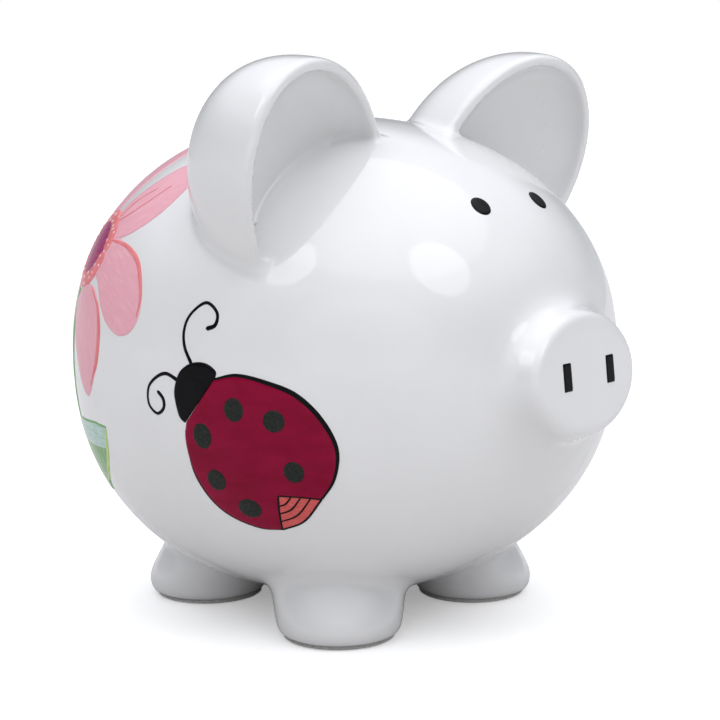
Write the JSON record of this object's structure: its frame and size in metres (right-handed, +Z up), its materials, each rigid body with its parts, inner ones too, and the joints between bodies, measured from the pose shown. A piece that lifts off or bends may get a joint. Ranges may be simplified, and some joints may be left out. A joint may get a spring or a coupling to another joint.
{
  "type": "piggy bank",
  "caption": "Round glazed ceramic pig money box with cupped ears, coin slot on the back, belly stopper and painted ladybug and flower.",
  "frame": {"origin": "on the ground, under the middle of the whole figure", "axes": "+Z up, the snout points along -Y, the pig's right flank is on the -X side"},
  "size_m": [0.1976, 0.2158, 0.2081],
  "materials": {
    "white_glaze": "glossy white glaze",
    "felt": "pale felt pad",
    "rubber": "soft translucent grey rubber",
    "black_enamel": "glossy black enamel",
    "charcoal_enamel": "glossy charcoal enamel",
    "crimson_enamel": "glossy crimson enamel",
    "coral_enamel": "glossy coral enamel",
    "pink_enamel": "brushed translucent pink enamel",
    "magenta_enamel": "brushed magenta enamel",
    "green_enamel": "brushed green enamel"
  },
  "bodies": {
    "bank": {"body_shell": "white_glaze", "snout": "white_glaze", "ear_right": "white_glaze", "ear_left": "white_glaze", "tail": "white_glaze", "foot_front_right": "white_glaze", "foot_front_left": "white_glaze", "foot_rear_right": "white_glaze", "foot_rear_left": "white_glaze", "foot_pad_front_right": "felt", "foot_pad_front_left": "felt", "foot_pad_rear_right": "felt", "foot_pad_rear_left": "felt", "eye_right": "black_enamel", "eye_left": "black_enamel", "nostril_right": "black_enamel", "nostril_left": "black_enamel", "ladybug_head": "black_enamel", "ladybug_antennae": "black_enamel", "ladybug_edge": "black_enamel", "ladybug_spots": "charcoal_enamel", "ladybug_wings": "crimson_enamel", "ladybug_open_wing": "coral_enamel", "flower_petals": "pink_enamel", "flower_eye": "magenta_enamel", "flower_stem": "green_enamel", "grass_patch": "green_enamel"},
    "stopper": {"stopper": "rubber"}
  },
  "joints": [
    {"name": "stopper_pull", "type": "slide", "parent": "bank", "child": "stopper", "axis": [0, 0, -1], "range_m": [0, 0.025]}
  ]
}
